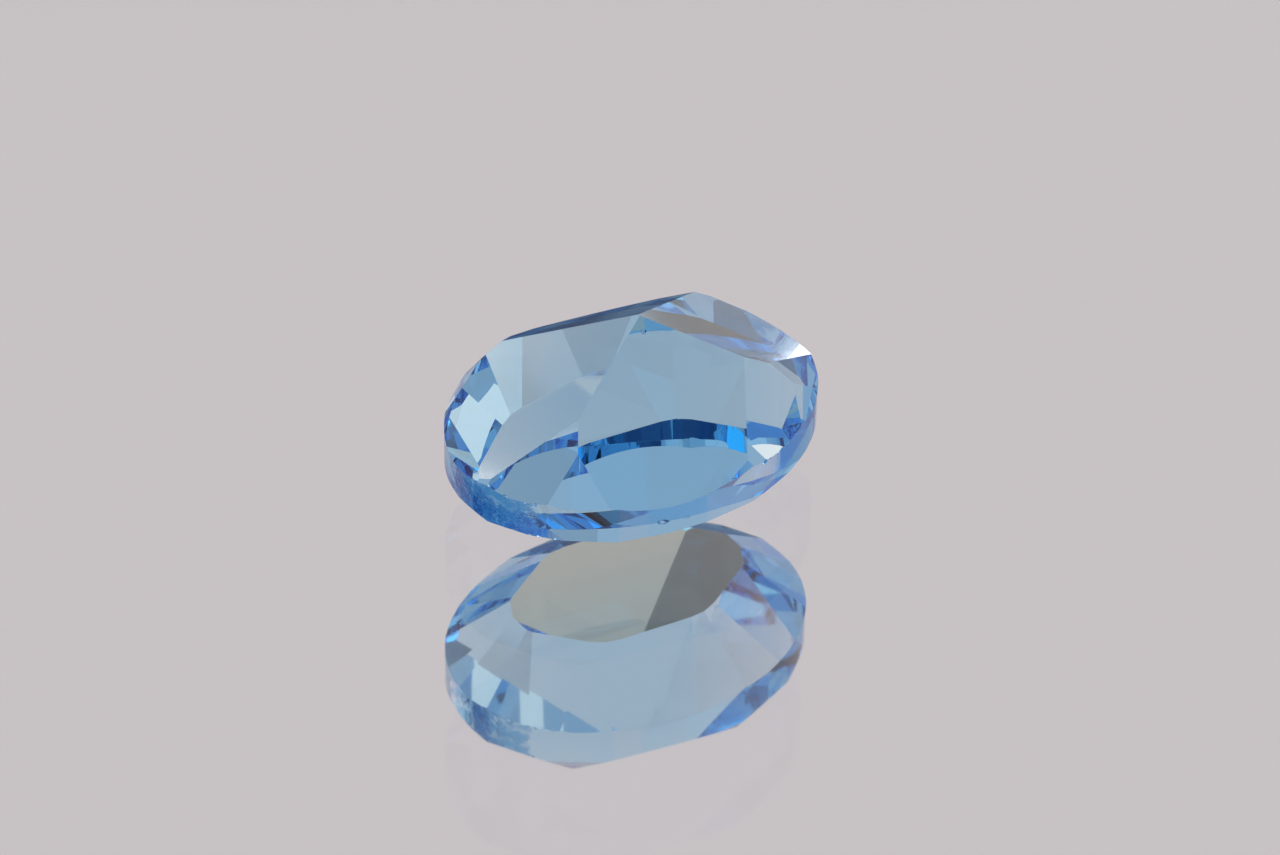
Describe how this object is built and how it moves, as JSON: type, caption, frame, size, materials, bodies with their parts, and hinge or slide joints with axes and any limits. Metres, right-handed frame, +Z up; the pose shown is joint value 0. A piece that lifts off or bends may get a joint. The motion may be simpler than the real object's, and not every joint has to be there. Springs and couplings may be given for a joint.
{
  "type": "faceted oval topaz gemstone",
  "caption": "Loose oval faceted blue topaz with a flat table, a thick girdle and a shallow pointed pavilion, lying on its table.",
  "frame": {"origin": "middle of the table, the flat facet that the stone rests on", "axes": "+X along the long axis of the oval, +Y across it, +Z up towards the point of the pavilion"},
  "size_m": [0.008, 0.0058, 0.0049],
  "materials": {
    "blue_topaz": "polished facets on clear light blue crystal, partly frosted girdle"
  },
  "bodies": {
    "root": {"faceted_stone": "blue_topaz"}
  },
  "joints": []
}
